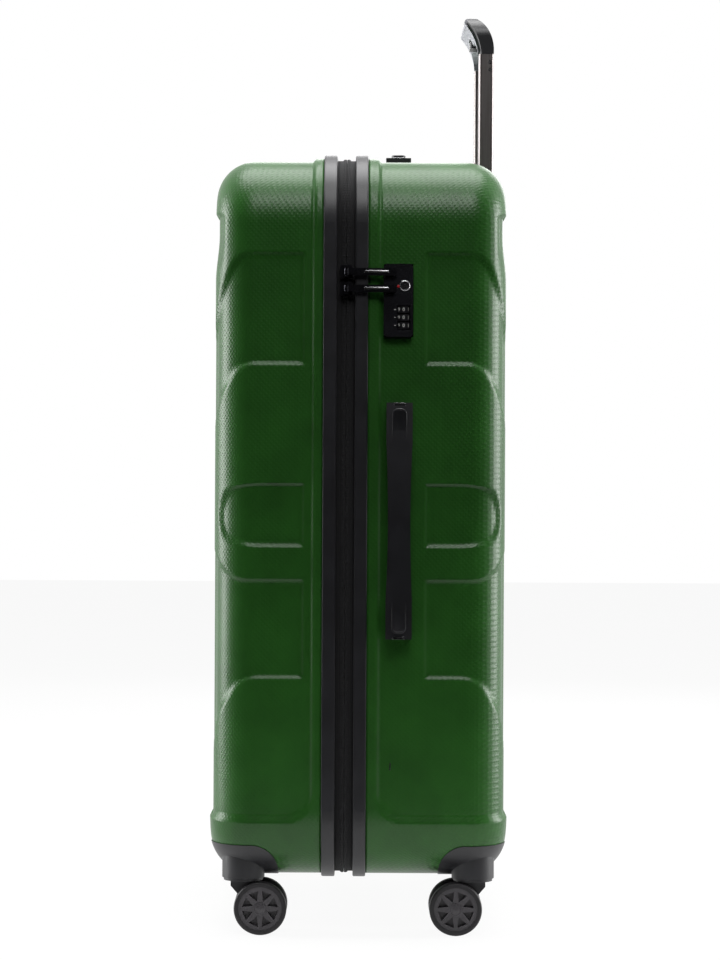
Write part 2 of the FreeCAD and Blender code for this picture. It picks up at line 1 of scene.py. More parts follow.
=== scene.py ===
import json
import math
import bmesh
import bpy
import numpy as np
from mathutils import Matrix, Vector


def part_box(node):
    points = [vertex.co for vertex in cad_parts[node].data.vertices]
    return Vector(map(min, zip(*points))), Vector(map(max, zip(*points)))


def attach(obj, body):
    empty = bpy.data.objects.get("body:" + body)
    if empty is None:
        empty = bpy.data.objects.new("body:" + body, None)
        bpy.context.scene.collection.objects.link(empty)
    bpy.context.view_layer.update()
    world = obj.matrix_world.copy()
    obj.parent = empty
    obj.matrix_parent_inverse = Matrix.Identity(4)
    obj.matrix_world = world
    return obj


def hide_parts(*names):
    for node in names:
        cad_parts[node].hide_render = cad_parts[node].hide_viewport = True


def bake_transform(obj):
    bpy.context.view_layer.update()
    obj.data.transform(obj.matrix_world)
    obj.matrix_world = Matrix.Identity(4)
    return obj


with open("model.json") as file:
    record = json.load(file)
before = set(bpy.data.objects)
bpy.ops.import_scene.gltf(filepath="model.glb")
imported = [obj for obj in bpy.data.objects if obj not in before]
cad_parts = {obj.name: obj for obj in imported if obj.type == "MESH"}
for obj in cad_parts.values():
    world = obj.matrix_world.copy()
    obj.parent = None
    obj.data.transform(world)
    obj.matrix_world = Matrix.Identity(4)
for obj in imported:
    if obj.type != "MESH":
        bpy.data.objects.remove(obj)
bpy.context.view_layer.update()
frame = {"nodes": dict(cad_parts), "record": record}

# %% [markdown]
# # A hard shell suitcase, finished in Blender
# The construction comes from the CAD frame: every tube, wheel and lock part is already at its real
# size. What is left is the look. The two moulded shells are the biggest surfaces, so they are
# rebuilt here as fine meshes with their pressed-in relief; the zip, the handles' trim, the dials'
# numbers and the packing straps are added as pieces of their own, and every surface gets a material
# named for what the real one is made of.

MM = 0.001
nodes = frame["nodes"]
record = frame["record"]

# %% [markdown]
# ## Camera, light and floor
# Luggage is usually shown level with the middle of the case, from a few metres away
# with a long lens, so that the sides stay parallel. Two tall soft lights stand left and right, which
# draws a bright line down each rounded edge and leaves the flat side deep in colour. A lamp could be
# made smaller and harder, but then the moulded texture would sparkle.

# %% Camera
def aim(thing, target):
    direction = Vector(target) - thing.location
    thing.rotation_euler = direction.to_track_quat("-Z", "Y").to_euler()


CAMERA_DISTANCE = 2.888
CAMERA_HEIGHT = 0.440
camera_data = bpy.data.cameras.new("camera")
camera_data.lens = 103
camera_data.sensor_width = 36
camera = bpy.data.objects.new("camera", camera_data)
camera.location = (CAMERA_DISTANCE, 0, CAMERA_HEIGHT)
CAMERA_LEAN = math.radians(0.29)
camera.rotation_euler = (math.radians(90), 0, math.radians(90))
camera.rotation_euler.rotate_axis("Z", CAMERA_LEAN)
bpy.context.scene.collection.objects.link(camera)
bpy.context.scene.camera = camera
bpy.context.scene.view_settings.view_transform = "Standard"

# %% Lamps
def soft_box(name, place, target, size, watts):
    data = bpy.data.lights.new(name, "AREA")
    data.shape = "RECTANGLE"
    data.size, data.size_y = size
    data.energy = watts
    lamp = bpy.data.objects.new(name, data)
    lamp.location = place
    aim(lamp, target)
    bpy.context.scene.collection.objects.link(lamp)


CASE_CENTRE = (0, 0, 0.42)
soft_box("left light", (-0.3, -2.3, 0.72), CASE_CENTRE, (1.0, 1.9), 62)
soft_box("right light", (-0.3, 2.3, 0.72), CASE_CENTRE, (1.0, 1.9), 58)
soft_box("top light", (-0.1, 0.0, 2.7), CASE_CENTRE, (2.2, 1.6), 74)
soft_box("front fill", (2.2, 0.3, 2.9), CASE_CENTRE, (1.6, 1.2), 44)
soft_box("behind light", (-2.6, 0.4, 1.5), CASE_CENTRE, (1.6, 1.4), 26)


# %% [markdown]
# ## A helper for materials
# A material is a small network of nodes. One helper adds a node with its settings and its links, and
# one turns the hex colours that a maker quotes into the linear values that the shader wants.

# %% Node helper and colours
def linear(hex_colour):
    channels = [int(hex_colour[i:i + 2], 16) / 255 for i in (1, 3, 5)]
    return tuple(c / 12.92 if c <= 0.04045 else ((c + 0.055) / 1.055) ** 2.4 for c in channels) + (1.0,)


def add_node(tree, kind, settings=None, links=None, feeds=()):
    """Adds a node. settings holds its properties and input values, links what comes in, and feeds
    the sockets that its first output goes to. Returns the first output."""
    node = tree.nodes.new(kind)
    for key, value in (settings or {}).items():
        if key == "stops":
            for element, (position, colour) in zip(node.color_ramp.elements, value):
                element.position = position
                element.color = linear(colour)
        elif isinstance(key, str) and key not in node.inputs:
            setattr(node, key, value)
        else:
            node.inputs[key].default_value = value
    for key, socket in (links or {}).items():
        tree.links.new(socket, node.inputs[key])
    for socket in feeds:
        tree.links.new(node.outputs[0], socket)
    return node.outputs[0]


def new_material(name, colour, roughness, ior=1.5, metallic=0.0, more=None):
    """A Principled material with its uniform values on the shader's own sockets."""
    material = bpy.data.materials.new(name)
    material.use_nodes = True
    shader = material.node_tree.nodes["Principled BSDF"]
    shader.inputs["Base Color"].default_value = linear(colour)
    shader.inputs["Roughness"].default_value = roughness
    shader.inputs["Metallic"].default_value = metallic
    if not metallic:
        shader.inputs["IOR"].default_value = ior
    for key, value in (more or {}).items():
        shader.inputs[key].default_value = value
    return material, material.node_tree, shader.inputs


def millimetres(tree, scale=(1, 1, 1), turn=(0, 0, 0)):
    """The piece's own coordinates, in millimetres."""
    coordinates = tree.nodes.new("ShaderNodeTexCoord").outputs["Object"]
    return add_node(tree, "ShaderNodeMapping",
                    {"Scale": [s / MM for s in scale], "Rotation": turn}, {"Vector": coordinates})


# A wave texture repeats every 2 pi / 20 units at scale 1, so a ripple every P mm has this over P.
WAVE_SCALE = math.pi / 10
finishes = {}


# %% [markdown]
# ## The shell: moulded polycarbonate
# The shell is vacuum-formed from a coloured polycarbonate sheet. Its tool has an engraved texture:
# two sets of slanting grooves that cross, over faint upright ribs. The eye sees a deep green where
# the wall faces it, and a satin, almost milky band where a rounded edge catches a light. Real grooves
# are about 1.5 mm apart, too fine to show here, so they are drawn 3.6 mm apart. Paint with a clear
# coat could be used instead, but its mirror-like second highlight would be wrong for a bare moulding.

# %% Moulded green polycarbonate
GROOVE_PITCH = 3.6
RIB_PITCH = 5.0


def moulded_polycarbonate():
    material, tree, shader = new_material("moulded green polycarbonate", "#24551b", 0.36, 1.585,
                                          more={"Specular IOR Level": 0.28})
    rising = add_node(tree, "ShaderNodeTexWave",
                      {"bands_direction": "DIAGONAL", "Scale": WAVE_SCALE * 1.4 / GROOVE_PITCH},
                      {"Vector": millimetres(tree)})
    falling = add_node(tree, "ShaderNodeTexWave",
                       {"bands_direction": "DIAGONAL", "Scale": WAVE_SCALE * 1.4 / GROOVE_PITCH},
                       {"Vector": millimetres(tree, (1, 1, -1))})
    ribs = add_node(tree, "ShaderNodeTexWave", {"Scale": WAVE_SCALE / RIB_PITCH},
                    {"Vector": millimetres(tree, turn=(0, 0, math.radians(45)))})
    hatch = add_node(tree, "ShaderNodeMath", {"operation": "MULTIPLY"}, {0: rising, 1: falling})
    height = add_node(tree, "ShaderNodeMath", {"operation": "MULTIPLY_ADD", 1: 0.35},
                      {0: ribs, 2: hatch})
    add_node(tree, "ShaderNodeBump", {"Distance": 0.13 * MM, "Strength": 0.8}, {"Height": height},
             [shader["Normal"]])
    cloud = add_node(tree, "ShaderNodeTexNoise", {"Scale": 1 / 45, "Detail": 4.0},
                     {"Vector": millimetres(tree)})
    add_node(tree, "ShaderNodeValToRGB", {"stops": ((0.3, "#214f19"), (0.7, "#275a1e"))},
             {"Fac": cloud}, [shader["Base Color"]])
    add_node(tree, "ShaderNodeMapRange", {"To Min": 0.33, "To Max": 0.43}, {"Value": hatch},
             [shader["Roughness"]])
    return material


finishes["shell"] = moulded_polycarbonate()


# %% [markdown]
# ## Black plastics
# Frame bands, caster housings and forks are moulded ABS with a spark-eroded grain, which looks dry
# and slightly grey. Handle grips have a softer satin skin. The lock is smoother, and the wheel hubs
# are a shade lighter than their tyres. They share one recipe with other values: grain size and depth
# and roughness are what tells them apart, far more than colour does.

# %% Moulded plastics
def moulded_plastic(name, dark, light, roughness, grain_size, grain_depth, ior=1.53):
    material, tree, shader = new_material(name, light, roughness, ior)
    grain = add_node(tree, "ShaderNodeTexNoise", {"Scale": 1 / grain_size, "Detail": 5.0},
                     {"Vector": millimetres(tree)})
    add_node(tree, "ShaderNodeBump", {"Distance": grain_depth * MM, "Strength": 0.7},
             {"Height": grain}, [shader["Normal"]])
    wear = add_node(tree, "ShaderNodeTexNoise", {"Scale": 1 / 30, "Detail": 6.0},
                    {"Vector": millimetres(tree)})
    add_node(tree, "ShaderNodeValToRGB", {"stops": ((0.3, dark), (0.7, light))}, {"Fac": wear},
             [shader["Base Color"]])
    add_node(tree, "ShaderNodeMapRange", {"To Min": roughness - 0.05, "To Max": roughness + 0.07},
             {"Value": wear}, [shader["Roughness"]])
    return material


finishes["frame_plastic"] = moulded_plastic("spark-grained black ABS", "#1d1d20", "#252529",
                                            0.42, 1.2, 0.08)
finishes["handle_plastic"] = moulded_plastic("satin black handle skin", "#1b1b1e", "#242428",
                                             0.38, 0.9, 0.05)
finishes["lock_plastic"] = moulded_plastic("polished black lock ABS", "#141417", "#1b1b1f",
                                           0.24, 1.5, 0.02)
finishes["dial_plastic"] = moulded_plastic("dial acetal", "#131315", "#1a1a1d", 0.35, 1.5, 0.03)
finishes["hub_plastic"] = moulded_plastic("grey nylon hub", "#3a383b", "#454246", 0.45, 1.1, 0.06)
finishes["palm_insert"] = moulded_plastic("light grey palm rubber", "#a9a9b2", "#b9b9c1",
                                          0.5, 1.0, 0.05)
finishes["tyre"] = moulded_plastic("polyurethane tyre", "#1a191b", "#242225", 0.55, 1.3, 0.12, 1.49)
finishes["number_white"] = moulded_plastic("white number paint", "#d9d9d6", "#e6e6e2",
                                           0.5, 0.8, 0.02)


# %% [markdown]
# ## Metals
# The trolley tubes are extruded aluminium, anodised a warm grey. Extruding leaves faint lines along
# the tube, so the grain is stretched along Z: the eye sees long soft streaks. Rivets, pins and axles
# are bright steel; the zip's sliders are zinc under dark lacquer.

# %% Metals
def drawn_metal(name, dark, light, roughness, streak=(1.6, 1.6, 0.02), depth=0.02):
    material, tree, shader = new_material(name, light, roughness, metallic=1.0)
    lines = add_node(tree, "ShaderNodeTexNoise", {"Scale": 1.0, "Detail": 3.0},
                     {"Vector": millimetres(tree, streak)})
    add_node(tree, "ShaderNodeBump", {"Distance": depth * MM, "Strength": 0.6}, {"Height": lines},
             [shader["Normal"]])
    add_node(tree, "ShaderNodeValToRGB", {"stops": ((0.3, dark), (0.7, light))}, {"Fac": lines},
             [shader["Base Color"]])
    add_node(tree, "ShaderNodeMapRange", {"To Min": roughness - 0.04, "To Max": roughness + 0.08},
             {"Value": lines}, [shader["Roughness"]])
    return material


finishes["tube_aluminium"] = drawn_metal("grey anodised aluminium", "#8b8584", "#999493", 0.34)
finishes["steel"] = drawn_metal("bright steel", "#b9b9bb", "#cfcfd1", 0.22, (1, 1, 1))
finishes["zip_metal"] = drawn_metal("dark lacquered zinc", "#3a3a3f", "#4c4c52", 0.28, (1, 1, 1))


# %% [markdown]
# ## Woven fabrics
# The zip's tape and the lining are plain-weave polyester. Two sets of ripples at right angles, with
# one thread up where the other is down, give the small checks of a weave. The lining's threads are
# really about 0.4 mm; they are drawn at 2 mm so that they show. A sheen adds the pale edge that
# cloth has at a grazing angle.

# %% Fabrics
def woven_polyester(name, dark, light, thread, sheen):
    material, tree, shader = new_material(name, light, 0.85, 1.45, more={"Sheen Weight": sheen})
    warp = add_node(tree, "ShaderNodeTexWave", {"Scale": WAVE_SCALE / thread},
                    {"Vector": millimetres(tree, turn=(0, 0, math.radians(45)))})
    weft = add_node(tree, "ShaderNodeTexWave", {"bands_direction": "Z", "Scale": WAVE_SCALE / thread},
                    {"Vector": millimetres(tree)})
    check = add_node(tree, "ShaderNodeMath", {"operation": "MULTIPLY"}, {0: warp, 1: weft})
    add_node(tree, "ShaderNodeBump", {"Distance": 0.2 * MM, "Strength": 0.8}, {"Height": check},
             [shader["Normal"]])
    add_node(tree, "ShaderNodeValToRGB", {"stops": ((0.1, dark), (0.8, light))}, {"Fac": check},
             [shader["Base Color"]])
    return material


finishes["zip_tape"] = woven_polyester("black zip tape", "#0f0f11", "#1c1c1f", 1.2, 0.1)
finishes["lining"] = woven_polyester("charcoal lining", "#3c3d41", "#55565b", 2.0, 0.4)
finishes["strap"] = woven_polyester("black strap webbing", "#18181a", "#2b2b2e", 1.6, 0.3)

# %% [markdown]
# ## Finishes go on the CAD pieces
# Every piece that keeps its CAD shape gets the material of its slot. Its mesh and its shading stay
# as they are.

# %% Paint the CAD pieces
for part in record["subparts"]:
    obj = nodes[part["node"]]
    obj.data.materials.clear()
    obj.data.materials.append(finishes[part["material_slot"]])
print("painted", len(nodes), "pieces with", len(finishes), "finishes")

# %% [markdown]
# ## The outline that everything follows
# Shells, bands, zip and linings all follow one outline: a tall rectangle with round corners. Its
# points are worked out here once, with the outward direction at each, so that any ring or wall can be
# swept along it at any distance. Rows of points are laid exactly on the relief's level edges, because
# a press-formed edge looks soft or ragged if it falls between two rows.

# %% The case outline
RIM_RISE = 3.2
CORNER_RADIUS = 65.0
EDGE_RADIUS = 38.0
shell_low, shell_high = [np.array(corner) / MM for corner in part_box("back_shell")]
HALF_WIDTH = shell_high[0] - RIM_RISE
HALF_DEPTH = shell_high[1] - RIM_RISE
BOTTOM, TOP = shell_low[2] + RIM_RISE, shell_high[2] - RIM_RISE
FLAT_END = HALF_DEPTH - EDGE_RADIUS
BEVEL = 3.2
LEVEL_EDGES = (115, 249, 345, 375, 437, 550, 658.6, 677, 696)


def spaced(start, end, marks, step):
    """Values from start to end, through all the marks, never more than step apart."""
    stops = sorted({start, end, *[m for m in marks if start < m < end]})
    values = []
    for a, b in zip(stops, stops[1:]):
        count = max(1, math.ceil((b - a) / step))
        values += list(np.linspace(a, b, count, endpoint=False))
    return np.array(values + [end])


def case_outline(step=3.2, marks=()):
    """Points (x, z) round the case with outward normals, starting low on the lock side."""
    x, low, high = HALF_WIDTH - CORNER_RADIUS, BOTTOM + CORNER_RADIUS, TOP - CORNER_RADIUS
    side = spaced(low, high, marks, step)[:-1]
    arc = np.linspace(0, 90, max(8, int(CORNER_RADIUS * 1.57 / step)), endpoint=False)
    across = spaced(-x, x, (), step)[:-1]
    points, normals = [], []
    for z in side:
        points.append((HALF_WIDTH, z))
        normals.append((1, 0))
    for quarter, (cx, cz) in enumerate(((x, high), (-x, high), (-x, low), (x, low))):
        for angle in np.radians(arc + 90 * quarter):
            points.append((cx + CORNER_RADIUS * math.cos(angle), cz + CORNER_RADIUS * math.sin(angle)))
            normals.append((math.cos(angle), math.sin(angle)))
        if quarter == 0:
            points += [(-a, TOP) for a in across]
            normals += [(0, 1)] * len(across)
        if quarter == 1:
            points += [(-HALF_WIDTH, low + high - z) for z in side]
            normals += [(-1, 0)] * len(side)
        if quarter == 2:
            points += [(a, BOTTOM) for a in across]
            normals += [(0, -1)] * len(across)
    return np.array(points), np.array(normals)


edge_rows = [z + shift for z in LEVEL_EDGES for shift in (-BEVEL / 2, 0, BEVEL / 2, BEVEL)]
edge_rows += [BOTTOM + TOP - z for z in edge_rows]
outline_points, outline_normals = case_outline(marks=edge_rows)
print("outline:", len(outline_points), "points")


# %% Meshes from grids
def mesh_piece(name, vertices, faces, material, body, smooth=True):
    """Makes an object from vertices in millimetres; it rides on a body unless body is None."""
    mesh = bpy.data.meshes.new(name)
    mesh.from_pydata([tuple(v) for v in np.asarray(vertices, float) * MM], [], faces)
    build = bmesh.new()
    build.from_mesh(mesh)
    bmesh.ops.remove_doubles(build, verts=build.verts, dist=0.01 * MM)
    bmesh.ops.recalc_face_normals(build, faces=build.faces)
    build.to_mesh(mesh)
    build.free()
    mesh.polygons.foreach_set("use_smooth", [smooth] * len(mesh.polygons))
    mesh.materials.append(material)
    piece = bpy.data.objects.new(name, mesh)
    bpy.context.scene.collection.objects.link(piece)
    if body:
        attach(piece, body)
    return piece


def grid_faces(rows, columns, start=0, wrap=True, flip=False):
    """Quads of a grid of points, closed round its columns if wrap."""
    faces = []
    last = columns if wrap else columns - 1
    for r in range(rows - 1):
        for c in range(last):
            right = (c + 1) % columns
            quad = (start + r * columns + c, start + r * columns + right,
                    start + (r + 1) * columns + right, start + (r + 1) * columns + c)
            faces.append(quad[::-1] if flip else quad)
    return faces


def layered_faces(rows, columns, wrap):
    """Faces of a thin sheet given as two layers of a grid, with the strip that closes its border."""
    count = rows * columns
    faces = grid_faces(rows, columns, wrap=wrap)
    faces += grid_faces(rows, columns, start=count, wrap=wrap, flip=True)
    if wrap:
        return faces + [(c, count + c, count + (c + 1) % columns, (c + 1) % columns)
                        for c in range(columns)]
    last_row, last_column = rows - 1, columns - 1
    border = list(range(columns))
    border += [r * columns + last_column for r in range(1, rows)]
    border += [last_row * columns + c for c in range(last_column - 1, -1, -1)]
    border += [r * columns for r in range(last_row - 1, 0, -1)]
    faces += [(a, b, b + count, a + count) for a, b in zip(border, border[1:] + border[:1])]
    return faces


# %% [markdown]
# ## The shells' relief
# A sheet is drawn over its tool and pushed in by a few millimetres to make it stiff: each side has
# three sunk panels whose lower edges sweep round the corner, and a raised rim runs beside the frame
# and round the foot. The relief is described flat, as on a drawing: one axis is the distance from the
# closing line, measured over the rounded edge, and the other is the height. Each vertex then asks how
# far inside a panel it lies, and sinks smoothly over the width of the bevel. Boolean cuts would give
# the same outline, but with knife edges that no moulding has.

# %% Relief as distances
PANEL_SINK = 2.5
NOTCH_SINK = 3.5
CHANNEL_HALF_WIDTH = 80.0
ARC_LENGTH = EDGE_RADIUS * math.pi / 2
FACE_START = FLAT_END + ARC_LENGTH


def smooth_step(value):
    value = np.clip(value, 0.0, 1.0)
    return value * value * (3 - 2 * value)


def bent_path(corners):
    """Corners (a, b, radius) to points, each corner rounded by a quadratic curve."""
    points = []
    for number, (a, b, radius) in enumerate(corners):
        here = np.array((a, b), float)
        before = np.array(corners[number - 1][:2], float)
        after = np.array(corners[(number + 1) % len(corners)][:2], float)
        into = (before - here) / np.linalg.norm(before - here)
        out = (after - here) / np.linalg.norm(after - here)
        for t in np.linspace(0, 1, 7 if radius else 1):
            start, end = here + into * radius, here + out * radius
            points.append((1 - t) ** 2 * start + 2 * t * (1 - t) * here + t * t * end)
    return np.array(points)


def inside_distance(points, path):
    """How far each point lies inside a closed path; negative outside."""
    nearest = np.full(len(points), 1e9)
    crossings = np.zeros(len(points), int)
    for p, q in zip(path, np.roll(path, -1, axis=0)):
        along = q - p
        if np.hypot(*along) < 1e-9:
            continue
        t = np.clip(((points - p) @ along) / (along @ along), 0, 1)
        nearest = np.minimum(nearest, np.hypot(*(points - (p + t[:, None] * along)).T))
        over = (p[1] > points[:, 1]) != (q[1] > points[:, 1])
        if over.any():
            cross_at = p[0] + (points[:, 1] - p[1]) * along[0] / (along[1] if along[1] else 1e-9)
            crossings += over & (points[:, 0] < cross_at)
    return np.where(crossings % 2 == 1, nearest, -nearest)


def side_panels(start):
    """Outlines of the three panels beside the frame; start is their inner edge."""
    end = FACE_START + 7
    return [
        bent_path([(start, 550, 2), (start, 658.6, 2), (119, 658.6, 18), (end, 574, 2), (end, 480, 2),
                   (116, 550, 14)]),
        bent_path([(start, 375, 2), (start, 437, 2), (106, 437, 12), (134, 431, 13), (144, 406, 12),
                   (137, 383, 10), (108, 375, 14)]),
        bent_path([(start, 249, 2), (start, 345, 2), (120, 345, 12), (150, 366, 8), (end, 378, 2),
                   (end, 158, 2), (147, 208, 14), (113, 249, 16)]),
    ]


def face_panels(side):
    """Two tapered panels on the front face; the back leaves a flat channel over the trolley."""
    shapes = [((-165, 655), (165, 655), (118, 452), (-118, 452)),
              ((-118, 398), (118, 398), (165, 165), (-165, 165))]
    if side < 0:
        return [bent_path([(x, z, 16) for x, z in shape]) for shape in shapes]
    inner = CHANNEL_HALF_WIDTH + 12
    return [bent_path([(s * max(abs(x) if x * s > 0 else 0, inner), z, 8) for x, z in shape])
            for shape in shapes for s in (-1, 1)]


def relief(side, a, height, x, on_face, start, rim_edge):
    """Rise over the main wall in millimetres at each point."""
    flat = np.column_stack((a, height))
    rise = np.zeros(len(a))
    for path in side_panels(start):
        rise -= PANEL_SINK * smooth_step(inside_distance(flat, path) / BEVEL)
    if on_face.any():
        spots = np.column_stack((x, height))[on_face]
        for path in face_panels(side):
            rise[on_face] -= PANEL_SINK * smooth_step(inside_distance(spots, path) / (BEVEL * 1.5))
    turn = 24.0
    corner = np.column_stack((turn - (a - rim_edge), turn - (height - LEVEL_EDGES[0])))
    outside = np.hypot(*np.maximum(corner, 0).T) + np.minimum(corner.max(axis=1), 0)
    rise += RIM_RISE * smooth_step((outside - turn) / BEVEL + 0.5)
    eased = np.where(height > 677, smooth_step((697.5 - height) / 3), smooth_step((height - 632) / 45))
    reach = smooth_step((a - 132) / 16)
    if side > 0:
        reach = reach * smooth_step((np.abs(x) - CHANNEL_HALF_WIDTH) / 6)
    return rise - NOTCH_SINK * eased * reach


# %% Shell surfaces
def half_surface(side, near, depth, marks, wall_step=3.2, ring_step=5.0, grow=0.0):
    """Grid over one half: base points, outward normals, and the flat coordinates of each point.
    grow moves the whole surface in or out before the edges are rounded."""
    radius = EDGE_RADIUS + grow
    flat_end = depth - EDGE_RADIUS
    points, normals = outline_points, outline_normals
    base, outward, over, on_face = [], [], [], []
    for y in spaced(abs(near) if side * near > 0 else -abs(near), flat_end, marks, wall_step):
        base.append(np.column_stack((points[:, 0] + normals[:, 0] * grow, np.full(len(points), side * y),
                                     points[:, 1] + normals[:, 1] * grow)))
        outward.append(np.column_stack((normals[:, 0], np.zeros(len(points)), normals[:, 1])))
        over.append(np.full(len(points), y))
        on_face.append(np.zeros(len(points), bool))
    for angle in np.linspace(0, math.pi / 2, 21)[1:]:
        inset = radius * (1 - math.cos(angle)) - grow
        spot = points - normals * inset
        y_here = np.full(len(points), side * (flat_end + radius * math.sin(angle)))
        base.append(np.column_stack((spot[:, 0], y_here, spot[:, 1])))
        tilt = normals * math.cos(angle)
        tilt_y = np.full(len(points), side * math.sin(angle))
        outward.append(np.column_stack((tilt[:, 0], tilt_y, tilt[:, 1])))
        over.append(np.full(len(points), flat_end + EDGE_RADIUS * angle))
        on_face.append(np.zeros(len(points), bool))
    rim = points - normals * EDGE_RADIUS
    spine = np.column_stack((np.zeros(len(points)),
                             np.clip(points[:, 1], BOTTOM + HALF_WIDTH, TOP - HALF_WIDTH)))
    rings = int((HALF_WIDTH - EDGE_RADIUS) / ring_step)
    for share in np.linspace(0, 1, rings)[1:]:
        spot = rim + (spine - rim) * share
        base.append(np.column_stack((spot[:, 0], np.full(len(points), side * (depth + grow)), spot[:, 1])))
        outward.append(np.tile((0.0, side, 0.0), (len(points), 1)))
        over.append(FACE_START + HALF_WIDTH - EDGE_RADIUS - np.abs(spot[:, 0]))
        on_face.append(np.ones(len(points), bool))
    return [np.array(grid) for grid in (base, outward, over, on_face)]


SHELL_THICKNESS = 2.2
shell_edges = {-1: (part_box("front_frame_band")[0].y / MM, 45.6, 53.0),
               1: (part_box("back_frame_band")[1].y / MM, 18.5, 62.0)}


def make_shell(name, side, body):
    near, rim_edge, start = shell_edges[side]
    marks = [edge + shift for edge in (rim_edge, start) for shift in (-BEVEL / 2, 0, BEVEL / 2, BEVEL)]
    base, outward, over, on_face = half_surface(side, near, HALF_DEPTH, marks)
    rows, columns = over.shape
    base, outward = base.reshape(-1, 3), outward.reshape(-1, 3)
    rise = relief(side, over.ravel(), base[:, 2], base[:, 0], on_face.ravel(), start, rim_edge)
    outer = base + outward * rise[:, None]
    inner = base + outward * (rise - SHELL_THICKNESS)[:, None]
    faces = layered_faces(rows, columns, wrap=True)
    piece = mesh_piece(name, np.vstack((outer, inner)), faces, finishes["shell"], body)
    print(name, len(piece.data.polygons), "faces, relief from", round(rise.min(), 2), "to",
          round(rise.max(), 2), "mm")
    return piece


lid_shell = make_shell("moulded_lid_shell", -1, "lid")
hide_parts("front_shell")
back_shell = make_shell("moulded_back_shell", 1, "back_half")
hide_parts("back_shell")


# %% [markdown]
# ## Openings in the back half
# The trolley tubes, the handle legs and the lock pass through the back wall, so the shell has real
# holes there, with the play that each part needs. A dark patch could stand in for a hole, but it
# would show as soon as a handle is lifted. All the cutting blocks are joined into one mesh and taken
# away in a single boolean, which is quicker and more robust than one after another.

# %% Cutting openings
def cut_openings(piece, boxes):
    """Takes axis-aligned boxes, (low, high) in millimetres, out of a piece on the root body."""
    vertices, faces = [], []
    for low, high in boxes:
        start = len(vertices)
        vertices += [[(low, high)[i][0], (low, high)[j][1], (low, high)[k][2]]
                     for i in (0, 1) for j in (0, 1) for k in (0, 1)]
        faces += [[start + v for v in face] for face in
                  ((0, 1, 3, 2), (4, 6, 7, 5), (0, 4, 5, 1), (2, 3, 7, 6), (0, 2, 6, 4), (1, 5, 7, 3))]
    mesh = bpy.data.meshes.new("cutter")
    mesh.from_pydata((np.array(vertices) * MM).tolist(), [], faces)
    cutter = bpy.data.objects.new("cutter", mesh)
    bpy.context.scene.collection.objects.link(cutter)
    boolean = piece.modifiers.new("openings", "BOOLEAN")
    boolean.operation, boolean.solver, boolean.object = "DIFFERENCE", "EXACT", cutter
    bpy.context.view_layer.update()
    before = len(piece.data.polygons)
    result = bpy.data.meshes.new_from_object(piece.evaluated_get(bpy.context.evaluated_depsgraph_get()))
    piece.modifiers.clear()
    piece.data = result
    bpy.data.objects.remove(cutter)
    print(piece.name, "cut by", len(boxes), "blocks:", before, "to", len(result.polygons), "faces")


def widened(node, gaps):
    """The box of a node, made wider on each axis by gaps."""
    low, high = [np.array(corner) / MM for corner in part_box(node)]
    return low - gaps, high + gaps


CARRY_HANDLE_Y = 37.5
CARRY_HANDLE_LENGTH = 226.0
CARRY_HANDLE_FOOT = 2.8
TUBE_SPREAD = 59.3
TUBE_PLAY = 1.2
LEG_OFFSET = 98.0
LEG_ACROSS, LEG_ALONG = 7.4, 4.4
side_handle_z = (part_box("side_handle_grip")[0].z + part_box("side_handle_grip")[1].z) / 2 / MM
tube_low, tube_high = widened("trolley_middle_tubes", (TUBE_PLAY, TUBE_PLAY, 0))
tube_half = tube_high[0] - TUBE_SPREAD
leg_low, leg_high = CARRY_HANDLE_Y - LEG_ACROSS, CARRY_HANDLE_Y + LEG_ACROSS
openings = []
for sign in (-1, 1):
    tube_x = sign * TUBE_SPREAD
    leg_x = sign * LEG_OFFSET
    leg_z = side_handle_z + sign * LEG_OFFSET
    openings.append(((tube_x - tube_half, tube_low[1], TOP - 50),
                     (tube_x + tube_half, tube_high[1], TOP + 12)))
    openings.append(((HALF_WIDTH - 8, leg_low, leg_z - LEG_ALONG),
                     (HALF_WIDTH + 6, leg_high, leg_z + LEG_ALONG)))
    openings.append(((leg_x - LEG_ALONG, leg_low, TOP - 8), (leg_x + LEG_ALONG, leg_high, TOP + 6)))
lock_low, lock_high = widened("lock_case", (0, 0, 0))
openings.append(((HALF_WIDTH - 25, lock_low[1], lock_low[2]),
                 (HALF_WIDTH + 15, lock_high[1], lock_high[2])))
cut_openings(back_shell, openings)


# %% [markdown]
# ## The zip
# The zip that closes the case is two tapes with a nylon coil sewn to each. Two black cords of coil
# mesh in the middle, and the tapes' edges disappear under the frame bands. A coil could be modelled
# turn by turn, but at this length that is a thousand turns, so each turn is one slanted ridge of a
# swept surface: the ring's section steps in and out as it goes round.

# %% Zip tapes with coils
def swept_strip(points, normals, section_at):
    """Sweeps a changing section round the outline; section_at(i) gives (rise, y) pairs."""
    sections = [section_at(i) for i in range(len(points))]
    size = len(sections[0])
    vertices = [(p[0] + n[0] * rise, y, p[1] + n[1] * rise)
                for p, n, section in zip(points, normals, sections) for rise, y in section]
    faces = []
    for i in range(len(points)):
        j = (i + 1) % len(points)
        for k in range(size):
            m = (k + 1) % size
            faces.append((i * size + k, i * size + m, j * size + m, j * size + k))
    return vertices, faces


tape_low, tape_high = [np.array(corner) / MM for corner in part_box("front_zip_tape")]
back_tape_high = np.array(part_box("back_zip_tape")[1]) / MM
ZIP_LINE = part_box("back_zip_tape")[0].y / MM - 0.2
TAPE_TOP = tape_high[0] - HALF_WIDTH
TOOTH_PITCH = 2.8
COIL_WIDTH = 3.2
COIL_RISE = 1.5
fine_points, fine_normals = case_outline(step=TOOTH_PITCH / 4)


